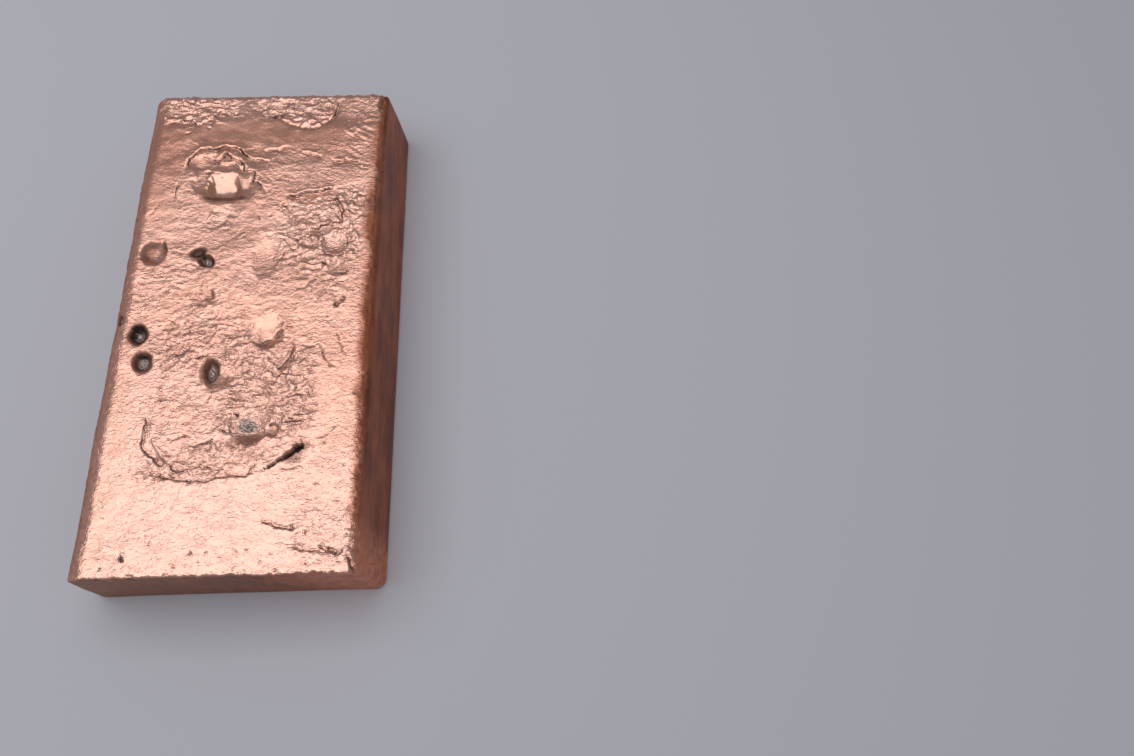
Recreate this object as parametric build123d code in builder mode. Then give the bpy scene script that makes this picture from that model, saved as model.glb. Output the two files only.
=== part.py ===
from build123d import *
from math import cos, radians, sin, tan
import os

# Copper ingot, one casting. It lies on its wide face, which is the origin's plane: X is across it, Y runs along it
# to the far end and Z is up. All sizes are millimetres and all angles are degrees.

# The block
length = 210.0
base_width = 110.0
side_draft = 7.7
left_height = 34.5
right_height = 33.0

# Rounded edges and corners
upright_corner_radius = 4.5
left_roll_radius = 8.0
right_roll_radius = 4.0
far_roll_radius = 3.0
near_roll_radius = 0.8
foot_radius = 1.2

# Dishes, where the skin was drawn down as it set: shallow round-bottomed hollows in the top face. The place is a share
# of the face's half width and half length, counted from its middle. Long, wide and deep are the mouth's two widths and
# the depth, and turn is the angle of the long way from X.
dishes = (
    # across, along, long, wide, deep, turn
    (0.14, 0.21, 18.0, 12.0, 1.3, 90),
    (0.66, 0.265, 12.4, 11.0, 1.1, 0),
    (0.56, 0.325, 7.4, 5.6, 0.9, 10),
    (0.70, 0.16, 9.0, 8.0, 0.8, 20),
    (0.21, -0.125, 13.0, 12.4, 1.7, -10),
    (-0.12, -0.30, 12.0, 10.4, 1.3, 10),
    (0.16, -0.48, 16.4, 14.0, 1.9, -10),
)

# Blowholes, where bubbles of gas broke through the skin: smaller hollows, deep for their width, given as the dishes are
blowholes = (
    (-0.76, 0.24, 11.4, 11.0, 2.5, 0),
    (-0.40, 0.235, 5.8, 5.0, 0.9, 160),
    (-0.35, 0.20, 8.8, 5.6, 1.2, 150),
    (-0.77, -0.112, 11.0, 8.6, 2.4, 120),
    (-0.70, -0.225, 10.4, 8.8, 2.2, 115),
    (-0.175, -0.272, 12.6, 8.0, 2.1, 95),
)

# Sink near the far end, where the last metal drew down: its deep end and the slope that shelves up behind it, given
# as the dishes are
sink = (-0.29, 0.515, 17.0, 12.5, 4.8, 0)
sink_slope = (-0.30, 0.58, 19.0, 17.0, 3.0, 90)

# Laps where one sheet of skin froze over the next: a furrow along a route of places on the top face, with a steep
# front under the upper sheet, on the route's left, and a gentle back up to the lower one
sink_lap = ((-0.64, 0.60), (-0.62, 0.66), (-0.52, 0.715), (-0.22, 0.735), (-0.15, 0.63), (-0.04, 0.58), (0.09, 0.49))
near_lap = ((0.27, -0.64), (0.04, -0.675), (-0.36, -0.675), (-0.62, -0.60), (-0.64, -0.41))
side_lap = ((0.21, 0.48), (0.38, 0.49), (0.68, 0.52), (0.73, 0.42), (0.74, 0.355))
sink_lap_turn_radius = 5.0
near_lap_turn_radius = 14.0
side_lap_turn_radius = 3.0
lap_depth = 0.8
lap_front = 0.3
lap_back = 0.9
lap_clearance = 0.2

# Hot tear that runs on from the end of the near lap
tear_length = 15.0
tear_angle = 31.0
tear_head_radius = 1.7
tear_tail_radius = 0.3
tear_depth = 3.5

# The top face leans a little from the left edge down to the right, because the mould stood out of level
left_top = base_width / 2 - left_height * tan(radians(side_draft))
right_top = base_width / 2 - right_height * tan(radians(side_draft))
top_left_corner = Vector(-left_top, 0, left_height)
top_right_corner = Vector(right_top, 0, right_height)
top_face = Plane(
    origin=(top_left_corner + top_right_corner) / 2,
    x_dir=top_right_corner - top_left_corner,
    z_dir=(top_right_corner - top_left_corner).cross(Vector(0, 1, 0)),
)
half_width = (top_right_corner - top_left_corner).length / 2
half_length = length / 2


def on_top(across, along):
    """A place on the top face, from shares of its half width and half length."""
    return (across * half_width, along * half_length)


with BuildPart() as ingot:
    # Section of the mould, run from the near end to the far end
    with BuildSketch(Plane.XZ.offset(-half_length)):
        with BuildLine():
            FilletPolyline(
                (-base_width / 2, 0),
                (base_width / 2, 0),
                (right_top, right_height),
                (-left_top, left_height),
                radius=(foot_radius, foot_radius, right_roll_radius, left_roll_radius),
                close=True,
            )
        make_face()
    extrude(amount=length)

    # The plan rounds the upright corners, most at the base and hardly at all at the top
    with BuildSketch(Plane.XY):
        RectangleRounded(base_width, length, upright_corner_radius)
    extrude(amount=left_height, mode=Mode.INTERSECT)

    # Two side views round the ends over at the top, square to the leaning top face, and round their feet at the base
    top_view = Plane(origin=top_face.origin, x_dir=(0, 1, 0), z_dir=top_face.x_dir)
    side_views = (
        (top_view, -2 * left_height, (near_roll_radius, far_roll_radius)),
        (Plane.YZ, 2 * left_height, (foot_radius, foot_radius)),
    )
    for view, far_side, (near_radius, far_radius) in side_views:
        with BuildSketch(view):
            with BuildLine():
                FilletPolyline(
                    (-half_length, 0),
                    (half_length, 0),
                    (half_length, far_side),
                    (-half_length, far_side),
                    radius=(near_radius, far_radius, 0, 0),
                    close=True,
                )
            make_face()
        extrude(amount=base_width, both=True, mode=Mode.INTERSECT)

    # Sink, dishes and blowholes: each is an egg, turned about its long axis, that reaches into the top face by its depth
    for across, along, long, wide, deep, turn in (sink, sink_slope, *dishes, *blowholes):
        floor_radius = ((wide / 2) ** 2 + deep**2) / (2 * deep)
        reach = long * floor_radius / wide
        middle = Location((*on_top(across, along), floor_radius - deep), (0, 0, turn))
        seat = Plane(top_face.location * middle * Location((0, 0, 0), (90, 0, 0)))
        with BuildSketch(seat):
            with BuildLine():
                rim = EllipticalCenterArc((0, 0), reach, floor_radius, start_angle=0, arc_size=180)
                Line(rim @ 1, rim @ 0)
            make_face()
        revolve(axis=Axis(seat.origin, seat.x_dir), mode=Mode.SUBTRACT)

    # The laps, furrows that follow their routes over the top face
    laps = (
        (sink_lap, sink_lap_turn_radius),
        (side_lap, side_lap_turn_radius),
        (near_lap, near_lap_turn_radius),
    )
    for route, turn_radius in laps:
        with BuildLine(top_face) as groove:
            FilletPolyline(*[on_top(*place) for place in route], radius=turn_radius)
        start = groove.line @ 0
        heading = groove.line % 0
        with BuildSketch(Plane(origin=start, x_dir=heading.cross(top_face.z_dir), z_dir=heading)):
            with BuildLine():
                Polyline((-lap_front, lap_clearance), (0, -lap_depth), (lap_back, lap_clearance), close=True)
            make_face()
        sweep(path=groove.line, mode=Mode.SUBTRACT)

    # Hot tear, a slit with a thin tail and a round head
    tail_x, tail_y = on_top(*near_lap[0])
    head_x = tail_x + tear_length * cos(radians(tear_angle))
    head_y = tail_y + tear_length * sin(radians(tear_angle))
    with BuildSketch(top_face):
        with Locations((tail_x, tail_y)):
            Circle(tear_tail_radius)
        with Locations((head_x, head_y)):
            Circle(tear_head_radius)
        make_hull()
    extrude(amount=-tear_depth, mode=Mode.SUBTRACT)

ingot.part.label = "ingot"
os.makedirs("parts", exist_ok=True)
export_step(ingot.part, "parts/ingot.step")
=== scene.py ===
from math import radians

import bpy
import numpy as np
from mathutils import Matrix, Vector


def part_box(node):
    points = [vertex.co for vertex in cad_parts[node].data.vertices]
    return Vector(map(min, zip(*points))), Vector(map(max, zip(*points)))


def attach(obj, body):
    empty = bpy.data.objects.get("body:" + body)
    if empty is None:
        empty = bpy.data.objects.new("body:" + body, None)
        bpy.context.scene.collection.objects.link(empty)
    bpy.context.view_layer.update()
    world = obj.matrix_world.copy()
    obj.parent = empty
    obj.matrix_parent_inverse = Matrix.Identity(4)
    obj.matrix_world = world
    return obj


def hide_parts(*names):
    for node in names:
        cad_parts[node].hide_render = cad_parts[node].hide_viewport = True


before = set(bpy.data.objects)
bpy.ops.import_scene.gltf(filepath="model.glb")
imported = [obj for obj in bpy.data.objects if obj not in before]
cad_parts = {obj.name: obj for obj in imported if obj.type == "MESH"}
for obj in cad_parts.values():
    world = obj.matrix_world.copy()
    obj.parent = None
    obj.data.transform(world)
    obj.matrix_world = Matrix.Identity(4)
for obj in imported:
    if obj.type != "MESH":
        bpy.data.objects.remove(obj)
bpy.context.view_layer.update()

# The casting: copper poured into an open mould that stood a little out of level, and left to set. First
# comes its skin as a plain grid: the mould's section, carried from the middle of the near end over its
# edge, along the block, over the far edge and to the middle of the far end. Lengths are millimetres.
to_metres = 0.001
low, high = (np.array(corner) / to_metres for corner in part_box("ingot"))
half_length = (high[1] - low[1]) / 2
half_base = 55.0
side_lean = np.tan(radians(7.7))
left_height, right_height = 34.5, 33.0
left_roll, right_roll = 8.0, 4.0
near_roll, far_roll = 0.8, 3.0
foot_radius, upright_roll = 1.2, 4.5
body_rings = 375


def rounded_outline(corners, radii, run_steps, turn_steps):
    """Points and outward normals of a closed outline, anticlockwise. At each corner the two runs stop
    short by radius * tan(turn / 2) and an arc of that radius joins them. Each run is cut evenly."""
    corners = np.array(corners, float)
    ahead = np.roll(corners, -1, axis=0) - corners
    ahead /= np.linalg.norm(ahead, axis=1)[:, None]
    behind = np.roll(ahead, 1, axis=0)
    turn = np.arccos(np.clip((ahead * behind).sum(axis=1), -1, 1))
    cut = np.array(radii) * np.tan(turn / 2)
    points, normals = [], []
    for i, (corner, radius) in enumerate(zip(corners, radii)):
        start = corner - behind[i] * cut[i]
        out = np.array([behind[i][1], -behind[i][0]])
        angle = np.linspace(0, turn[i], turn_steps[i] + 1)[:, None]
        normal = out * np.cos(angle) + behind[i] * np.sin(angle)
        arc = start - out * radius + normal * radius
        j = (i + 1) % len(corners)
        finish = corners[j] - ahead[i] * cut[j]
        share = np.linspace(0, 1, run_steps[i] + 1)[1:-1, None]
        points += [arc, arc[-1] + (finish - arc[-1]) * share]
        normals += [normal, np.repeat(normal[-1:], len(share), axis=0)]
    return np.vstack(points), np.vstack(normals)


section, section_normal = rounded_outline(
    [
        (-half_base, 0),
        (half_base, 0),
        (half_base - right_height * side_lean, right_height),
        (-half_base + left_height * side_lean, left_height),
    ],
    radii=(foot_radius, foot_radius, right_roll, left_roll),
    run_steps=(5, 14, 175, 11),
    turn_steps=(2, 2, 12, 20),
)
across = section[:, 0]
height = section[:, 1]

# How far each point of the section belongs to the top and to the base, and the radii that round it over at
# the two ends: the top's, the foot's, or the upright corner's, which gets smaller as it climbs
on_top = np.clip((section_normal[:, 1] - 0.05) / 0.55, 0, 1)
on_base = np.clip(-section_normal[:, 1], 0, 1)
climb = np.clip(height / right_height, 0, 1)
side_radius = upright_roll + (near_roll - upright_roll) * climb
near_radius = near_roll * on_top + foot_radius * on_base + side_radius * (1 - on_top - on_base)
far_radius = np.maximum(near_radius, far_roll * on_top)

# At the foot of the upright corners the outline keeps the plan's radius, less what the foot's arc has
# drawn it in
foot = (on_base > 0) & (np.abs(across) > half_base - upright_roll)
drawn_in = np.where(foot, foot_radius * (1 - np.abs(section_normal[:, 0])), 0)
near_radius = np.where(foot, upright_roll - drawn_in, near_radius)
far_radius = np.where(foot, upright_roll - drawn_in, far_radius)
pull_x = np.where(foot, np.sign(across), section_normal[:, 0])
pull_z = np.where(foot, 0, section_normal[:, 1])

# Each ring is given by its place along, how far it is drawn in from the section, how far it is shrunk to
# the middle of the end, and how much it faces along the block
shrink = np.array([0.15, 0.3, 0.45, 0.6, 0.72, 0.82, 0.9, 0.96, 0.99])[:, None]
bend = np.radians(np.array([0.0, 22.5, 45.0, 67.5]))[:, None]
body = np.linspace(0, 1, body_rings)[:, None]
near_along = -half_length + drawn_in + near_radius * (1 - np.cos(bend))
far_along = half_length - drawn_in - far_radius * (1 - np.cos(bend[::-1]))
body_length = 2 * (half_length - drawn_in) - near_radius - far_radius
body_along = -half_length + drawn_in + near_radius + body * body_length
cap = np.ones((len(shrink), len(across)))
y = np.vstack([-half_length * cap, near_along, body_along, far_along, half_length * cap])
inset = np.vstack([
    near_radius * cap,
    near_radius * (1 - np.sin(bend)),
    np.zeros(body_along.shape),
    far_radius * (1 - np.sin(bend[::-1])),
    far_radius * cap,
])
keep = np.vstack([shrink, np.ones((len(bend) * 2 + len(body), 1)), shrink[::-1]])
flat_end = np.ones(shrink.shape)
facing = np.vstack([-flat_end, -np.cos(bend), np.zeros(body.shape), np.cos(bend[::-1]), flat_end])
middle = np.array([0.0, left_height / 2])
x = middle[0] + (across - pull_x * inset - middle[0]) * keep
z = middle[1] + (height - pull_z * inset - middle[1]) * keep
sideways = np.sqrt(1 - facing**2)
normal_x = section_normal[:, 0] * sideways
normal_z = section_normal[:, 1] * sideways
normal = np.stack([normal_x, facing * np.ones(x.shape), normal_z], axis=-1)
top = on_top * sideways

# The frozen top: the open face of the pour. A thin skin set first, wrinkled as the metal under it shrank,
# and broke into laps where one sheet froze over the next; gas left blowholes and the last metal to set
# sank. The relief is in millimetres, and what it does past the top's edges is taken off further down.
rng = np.random.default_rng(11)
lattice_size = 256
lattice = rng.uniform(0, 2 * np.pi, (lattice_size, lattice_size))
relief = np.zeros(x.shape)
# How far each point lies off its nearest crack, in that crack's half widths; it later sets the painted
# shade in the cracks
no_crack = 4.0
crack = np.full(x.shape, no_crack)


def swell(u, v, patch=0):
    """Gradient noise, about -1 to 1: every whole-number point has a random slope, and between four such
    points the slopes are blended by 6t^5 - 15t^4 + 10t^3. Patch picks another stretch of it."""
    u = u + 37.3 * patch
    v = v + 71.9 * patch
    i, j = np.floor(u).astype(int), np.floor(v).astype(int)
    s, t = u - i, v - j

    def corner(di, dj):
        slope = lattice[(i + di) % lattice_size, (j + dj) % lattice_size]
        return np.cos(slope) * (s - di) + np.sin(slope) * (t - dj)

    a = s**3 * (s * (6 * s - 15) + 10)
    b = t**3 * (t * (6 * t - 15) + 10)
    lower = corner(0, 0) * (1 - a) + corner(1, 0) * a
    upper = corner(0, 1) * (1 - a) + corner(1, 1) * a
    return (lower * (1 - b) + upper * b) * 1.5


def bark(long, wide, turn=0, patch=0, lean=0.0):
    """Wrinkled skin, 0 in the creases to about 1 on the rounded crests: the size of the noise, which has
    a crease wherever the noise changes sign. Its folds run long mm along the turn and come every wide mm
    across it. Lean moves the crests over to their near side, as the noise is read again at a place moved
    by its own height."""
    c, s = np.cos(radians(turn)), np.sin(radians(turn))
    u, v = (loose_x * c + loose_y * s) / long, (loose_y * c - loose_x * s) / wide
    crest = np.abs(swell(u, v, patch))
    return np.abs(swell(u, v + lean * crest, patch)) if lean else crest


def oval(cx, cy, rx, ry, turn=0, ragged=0.12):
    """How far out a point lies in an ellipse, 0 in its middle and 1 on its edge, which wanders by the
    ragged share of its size."""
    c, s = np.cos(radians(turn)), np.sin(radians(turn))
    u = ((x - cx) * c + (y - cy) * s) / rx
    v = ((y - cy) * c - (x - cx) * s) / ry
    return np.hypot(u, v) * (1 + ragged * swell(x / 3.5, y / 3.5, 5))


def fade(value, start, end):
    """0 at the start to 1 at the end and flat beyond both, by 3t^2 - 2t^3."""
    t = np.clip((value - start) / (end - start), 0, 1)
    return t * t * (3 - 2 * t)


loose_x = x + 2.2 * swell(x / 11, y / 11, 1) + 0.8 * swell(x / 4, y / 4, 2)
loose_y = y + 2.0 * swell(x / 12, y / 12, 3) + 0.7 * swell(x / 4.5, y / 4.5, 4)
drawn_x = x + 0.6 * swell(x / 3.1, y / 3.1, 12) + 0.3 * swell(x / 1.5, y / 1.5, 13)
drawn_y = y + 0.6 * swell(x / 3.1, y / 3.1, 14) + 0.3 * swell(x / 1.5, y / 1.5, 15)

# Every crack gapes in some stretches and closes up in others
open_seam = 0.2 + 0.8 * fade(swell(x / 3.6, y / 3.6, 29), -0.35, 0.3)

# How high the wrinkles stand in each stretch of the skin, one stretch laid over the last: where it lies,
# its half width and half length, its turn, then the heights of long folds, of round lumps and of fine
# slanting lines
stretches = (
    (0, 0, 90, 200, 0, 0.16, 0.04, 0.0),
    (-22, 38, 26, 16, 0, 0.12, 0.10, 0.0),
    (-25, 8, 24, 14, 0, 0.28, 0.16, 0.0),
    (-12, -19, 26, 17, 0, 0.25, 0.70, 0.0),
    (14, -28, 20, 16, -10, 0.50, 0.75, 0.0),
    (14, -45, 22, 13, 0, 0.95, 0.60, 0.0),
    (-20, -42, 15, 14, 0, 0.20, 0.35, 0.0),
    (-4, -62, 30, 7, 10, 0.60, 0.45, 0.0),
    (4, 20, 12, 14, 0, 0.12, 0.12, 0.20),
    (-14, 40, 7, 5, 0, 0.15, 0.75, 0.0),
    (26, 32, 19, 22, 0, 0.15, 1.0, 0.0),
    (31, 49, 12, 8, 0, 0.2, 1.0, 0.0),
    (41, 46, 5, 12, 0, 0.3, 1.1, 0.0),
    (34, 6, 15, 9, 0, 0.15, 0.5, 0.0),
    (36.5, 2, 4, 5, -20, 0.2, 0.9, 0.0),
    (12, 2, 9, 8, 0, 0.10, 0.12, 0.0),
    (-16, 4.5, 5.5, 5, 0, 0.1, 0.9, 0.0),
    (14, 64, 26, 11, -8, 0.04, 0.05, 0.22),
    (-40, -50, 11, 44, 0, 0.08, 0.03, 0.0),
    (-40, 60, 9, 26, 0, 0.05, 0.02, 0.0),
    (39, -28, 9, 42, 0, 0.06, 0.05, 0.06),
    (0, -92, 70, 20, 0, 0.07, 0.02, 0.0),
    (38, -91, 13, 14, 0, 0.3, 0.3, 0.0),
    (4, 84, 56, 7, 0, 0.03, 0.02, 0.04),
    (40, 80, 7, 18, 0, 0.12, 0.15, 0.30),
    (-31, 97, 17, 9, 4, 1.2, 0.15, 0.0),
    (2, 99, 9, 7, 0, 0.6, 0.4, 0.2),
    (18, 96, 11, 10, 0, 0.35, 0.75, 0.6),
)
folds_high, lumps_high, lines_high = np.zeros((3, *x.shape))
for cx, cy, rx, ry, turn, folds, lumps, lines in stretches:
    there = 1 - fade(oval(cx, cy, rx, ry, turn, 0.3), 0.7, 1.15)
    folds_high += (folds - folds_high) * there
    lumps_high += (lumps - lumps_high) * there
    lines_high += (lines - lines_high) * there
wild = folds_high + lumps_high + lines_high
wild_share = np.clip(wild, 0, 1)

relief += 0.4 * swell(x / 34, y / 30, 6)
waves = 0.28 * swell(x / 14, y / 12, 7) + 0.2 * swell(x / 6, y / 5, 16)
relief += (0.45 + 0.55 * wild_share) * waves
relief += folds_high * (bark(5.4, 3.1, 0, 8, 0.7) + 0.55 * bark(2.8, 1.9, 10, 9, 0.5) - 0.4)
relief += lumps_high * (bark(3.7, 3.1, 20, 10, 0.4) + 0.5 * bark(2.2, 1.8, 0, 11, 0.3) - 0.4)
relief += lines_high * (bark(9.0, 2.2, -35, 12, 0.5) - 0.3)


def drawn_line(places):
    """Points on the smooth line through the places: between two places it is the cubic that leaves and
    meets them in line with their neighbours."""
    p = np.array(places, float)
    p = np.vstack([2 * p[0] - p[1], p, 2 * p[-1] - p[-2]])
    t = np.linspace(0, 1, 7)[:-1, None, None]
    a, b, c, d = p[:-3], p[1:-2], p[2:-1], p[3:]
    line = b + (c - a) * t / 2 + (2 * a - 5 * b + 4 * c - d) * t**2 / 2 + (3 * b - a - 3 * c + d) * t**3 / 2
    return np.vstack([line.transpose(1, 0, 2).reshape(-1, 2), p[-2]])


def beside(places, reach):
    """The skin's points within reach of a drawn line, how far each lies off it, with its left counted as
    more than 0, and its share of the line's length, from 0 to 1."""
    line = drawn_line(places)
    run = np.diff(line, axis=0)
    first, last = line.min(axis=0) - reach, line.max(axis=0) + reach
    near = (top > 0) & (x > first[0]) & (x < last[0]) & (y > first[1]) & (y < last[1])
    away = np.stack([drawn_x[near], drawn_y[near]], axis=-1)[:, None] - line[:-1]
    share = np.clip((away * run).sum(axis=-1) / (run**2).sum(axis=-1), 0, 1)
    away = away - share[..., None] * run
    gap = np.hypot(away[..., 0], away[..., 1])
    nearest = gap.argmin(axis=1)
    row = np.arange(len(nearest))
    side = run[nearest, 0] * away[row, nearest, 1] - run[nearest, 1] * away[row, nearest, 0]
    length = np.hypot(run[:, 0], run[:, 1])
    passed = np.concatenate([[0], np.cumsum(length)])
    along = (passed[nearest] + share[row, nearest] * length[nearest]) / passed[-1]
    return near, gap[row, nearest] * np.where(side < 0, -1, 1), along


def mark(near, off, half_width):
    """Keeps each point's nearest crack: how far off it lies, in that crack's half widths."""
    off = np.clip(off / np.maximum(half_width, 0.01), -no_crack, no_crack)
    crack[near] = np.where(np.abs(off) < np.abs(crack[near]), off, crack[near])


def lap(places, lip=0.4, step=0.45, wide=0.34, reach=3.0):
    """One sheet of skin frozen over the next. The upper sheet, on the line's left, swells into a lip by
    exp(-off / swollen) and falls over a front, 1 / (1 + exp(-off / sheer)). Below it is a furrow, and the
    lower sheet climbs back to the level by exp(-off / reach). Wide is the crack's half width."""
    swollen, sheer, furrow = 1.3, 0.16, 0.5
    near, off, along = beside(places, 3 * reach)
    taper = fade(np.minimum(along, 1 - along), 0, 0.16)
    upper = lip * np.exp(-np.maximum(off, 0) / swollen)
    lower = -step * np.exp(np.minimum(off, 0) / reach) - 0.3 * np.exp(-(((off + 0.35) / furrow) ** 2))
    front = 1 / (1 + np.exp(-off / sheer))
    relief[near] += taper * (upper * front + lower * (1 - front))
    mark(near, off + 0.25, wide * taper * open_seam[near])


def crease(places, deep=0.25, wide=0.25):
    """A furrow, -deep by exp(-(off / furrow)^2), between shoulders, 0.35 deep by exp(-(off / shoulder)^2),
    tapered to both ends of its line. Wide is the crack's half width."""
    shoulder, furrow = 1.3, 0.5
    near, off, along = beside(places, 4)
    taper = fade(np.minimum(along, 1 - along), 0, 0.35)
    profile = 0.35 * np.exp(-((off / shoulder) ** 2)) - np.exp(-((off / furrow) ** 2))
    relief[near] += taper * deep * profile
    mark(near, off, wide * taper * open_seam[near])


def ridge(places, high=0.35, wide=0.7):
    """A fold that stands up, high by exp(-(off / wide)^2), tapered to both ends of its line."""
    near, off, along = beside(places, 4)
    taper = fade(np.minimum(along, 1 - along), 0, 0.3)
    relief[near] += taper * high * np.exp(-((off / wide) ** 2))


def dish(cx, cy, rx, ry, turn, deep, steep=2, calm=0.7, drawn=0.0, ragged=0.11):
    """A hollow in the skin, which smooths the wrinkles in it by the calm share. Its depth is about
    deep * (1 - r^steep), so that a high steep gives upright walls and a flat floor. Drawn moves the
    deepest place to the near side, by that share of the half length, and ragged is how much the outline
    wanders."""
    r = oval(cx, cy, rx, ry, turn, ragged)
    off = oval(cx, cy - drawn * ry, rx * (1 - 0.4 * drawn), ry * (1 - drawn), turn, ragged)
    depth = np.clip(1 - r**steep, 0, 1) * (1 - 0.5 * drawn) + 0.5 * drawn * np.clip(1 - off**2, 0, 1)
    relief[:] = relief * (1 - calm * fade(1 - r, 0, 0.25)) - deep * depth**1.15
    return r


# Dishes where the skin was drawn down, each with its place, half width, half length, turn, depth,
# steepness and calm, and some with drawn and ragged: the sink and its shelf, then the shallow ones, roughly
# from the far end to the near end, and last the chip of the far right corner
dish(-17, 62, 12.5, 12, 0, 1.2, 3, 0.75)

# The sink's trough has a steep near wall, a long slope at the far side and a step on its right, and its
# left wall is folded
sink_x = x + 0.8 * swell(x / 5, y / 5, 17) + 0.4 * swell(x / 2, y / 2, 30)
sink_y = y + 0.8 * swell(x / 5, y / 5, 18) + 0.4 * swell(x / 2, y / 2, 31)
sink_off = sink_x + 14.8 + 0.12 * (sink_y - 58)
trough = 4.0 * fade(sink_y, 47.5, 56.5) * (1 - fade(sink_y, 52, 69))
trough *= 1 - fade(-sink_off, 3.5, 8.5) - 0.6 * fade(sink_off, 3.5, 7.5) - 0.4 * fade(sink_off, 7.5, 13.5)
relief = relief * (1 - 0.9 * fade(trough, 0, 0.8)) - trough
left_wall = fade(trough, 0.3, 1.2) * (1 - fade(sink_x, -21.5, -19.5))
relief += left_wall * 1.3 * (bark(9, 1.3, 112, 19) - 0.3)

dish(-25, 69, 6.5, 4.6, 15, 0.6, 3, 0.3)
dish(7.2, 22.5, 6.5, 10.5, 0, 1.2, 2, 0.8, 0.3)
dish(33.3, 28, 6.0, 5.4, 0, 1.3, 3, 0.85)
dish(28.6, 34.2, 3.8, 3.0, 10, 0.8, 3, 0.95)
dish(35, 17, 4.6, 4.2, 20, 0.8, 2, 0.5)
dish(23.5, 27.5, 3.4, 3.0, 0, 0.5, 2, 0.4)
dish(23, 22, 3.4, 3.0, 0, 0.5, 2, 0.4)
dish(21, 50, 5.0, 4.0, 0, 0.5, 2, 0.4)
dish(-14, 39.5, 4.0, 3.0, 0, 0.5, 2, 0.3)
dish(-16.5, 4.5, 5.5, 4.5, 0, 0.6, 2, 0.1)
dish(-13.6, 5.0, 2.0, 2.8, 10, 0.7, 3, 0.3)
dish(37, 2.5, 2.6, 2.6, 0, 0.6, 2, 0.5)
dish(10.6, -11.5, 7.0, 7.6, -10, 1.8, 2, 0.85, 0.5, 0.16)
dish(17, -22, 5.0, 5.5, 40, 0.8, 2, 0.5)
dish(-6, -31, 6.5, 5.5, 10, 1.2, 2, 0.7, 0.3)
dish(8, -50.5, 8.5, 7.5, -10, 1.9, 2, 0.8, 0.3)
dish(16.4, -51.8, 2.8, 3.0, 0, 1.0, 3, 0.9)
dish(2.5, -56.5, 3.2, 2.4, -30, 0.5, 2, 0.3)
dish(25, -61, 5.5, 4.5, 25, 0.7, 2, 0.7)
dish(49.5, 100, 2.6, 5.0, -12, 1.3, 2, 0, 0, 0.3)

# Laps, each drawn so that the sheet on its left lies over the one on its right, with the creases and
# ridges among them: round the sink, over the far half and the right side, down to the ring of the near
# end, and at both end edges. After its places a lap has its lip, step, width and reach, a crease its depth
# and width, and a ridge its height and width.
lap([(-31, 63), (-32, 65.5), (-31.5, 68), (-30.5, 70.5), (-28.5, 73.5), (-25, 76), (-20, 75.6),
     (-17, 77), (-11, 76), (-8, 73), (-5, 70.6), (0, 69.8), (5, 69.3)], 0.7, 0.4, 0.7, 5)
lap([(-28, 71.3), (-24, 72.4), (-21.5, 70.5), (-19, 70), (-17, 72), (-16, 74), (-14.5, 73),
     (-12.5, 71.4), (-9.5, 70), (-8, 67.5), (-7, 65.2), (-4.5, 64.5), (-2.4, 63.4), (-2, 61),
     (-2.4, 59), (1, 57), (4.5, 51.5)], 0.45, 0.35, 0.5, 3)
lap([(-17.5, 68.3), (-14, 68.7), (-12, 69.2), (-10.5, 67.4), (-9, 66)], 0.3, 0.35, 0.3, 2)
crease([(-26, 64), (-20, 64.2), (-15, 64.8)], 0.25, 0.22)
crease([(-33, 61), (-33.6, 57), (-34, 52), (-33.7, 48)], 0.35, 0.35)
crease([(-33, 53), (-30, 54.5), (-27, 55)], 0.2, 0.22)
ridge([(-30, 61), (-27.5, 61.8), (-25.2, 61.8)], 0.4, 1.0)
lap([(0, 74.4), (3, 75), (6, 75.2), (9, 76.2), (11, 76.5)], 0.35, 0.3, 0.3)
lap([(16.5, 73.6), (19, 72.8), (22, 71.8), (25, 71)], 0.45, 0.35, 0.34)
lap([(29.5, 69.4), (31, 68.5), (33.5, 68.2), (35.5, 69.2), (38, 68.2), (42, 67.6)], 0.5, 0.4, 0.34)
lap([(11, 50.6), (13, 51.2), (16, 51.1), (18.5, 52.2), (21, 52.8), (26, 53.6),
     (32.5, 54.6)], 0.8, 0.7, 0.42, 2.5)
lap([(29, 51), (31.5, 49.5), (33, 49.5), (34.5, 47.2), (36, 44), (35.5, 41),
     (36.5, 37.5)], 0.6, 0.6, 0.5, 2)
crease([(32, 43.2), (33.5, 41.8), (34.8, 39.8)], 0.3, 0.3)
lap([(22.5, 35), (24.5, 35.6), (26.5, 35.8), (28.2, 36.9), (30, 37.2), (32, 36.1),
     (33, 35)], 0.6, 0.6, 0.42, 2)
crease([(28.2, 26.2), (29.2, 24.2), (31, 22.8), (33.5, 22.1), (36, 22.6), (39, 23.9)], 0.45, 0.42)
crease([(37.6, 31.4), (38.3, 29.5), (38.2, 27.6), (39, 25.8)], 0.3, 0.3)
crease([(34.8, 12.6), (36, 14.2), (38, 13.6), (39.4, 15.5), (40, 17.8)], 0.4, 0.36)
crease([(21.4, 28.8), (22.4, 27.4), (25, 27.1)], 0.35, 0.34)
crease([(21.6, 20), (23.2, 19), (25.2, 19.4)], 0.35, 0.34)
crease([(16.2, 31.4), (17.6, 30.2), (19.6, 29.8)], 0.35, 0.32)
crease([(14.6, 26.2), (16.6, 25.1), (18.8, 25.4)], 0.3, 0.3)
crease([(10, 22.4), (11.8, 21.6), (13.2, 22.8), (14.2, 24.8)], 0.35, 0.34)
crease([(22.2, 7), (23.6, 8.6), (25.6, 10.6), (28, 11.2)], 0.25, 0.28)
crease([(32, 6.8), (33.2, 8.2), (36, 9.6), (41, 10.8)], 0.2, 0.25)
crease([(10.5, 44.6), (12.5, 43.8), (14.6, 44)], 0.3, 0.3)
crease([(10.6, 49), (11.5, 46.8), (13.2, 45.4)], 0.25, 0.26)
crease([(28.5, 20.6), (29.8, 19), (31.4, 18.8)], 0.3, 0.32)
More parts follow.
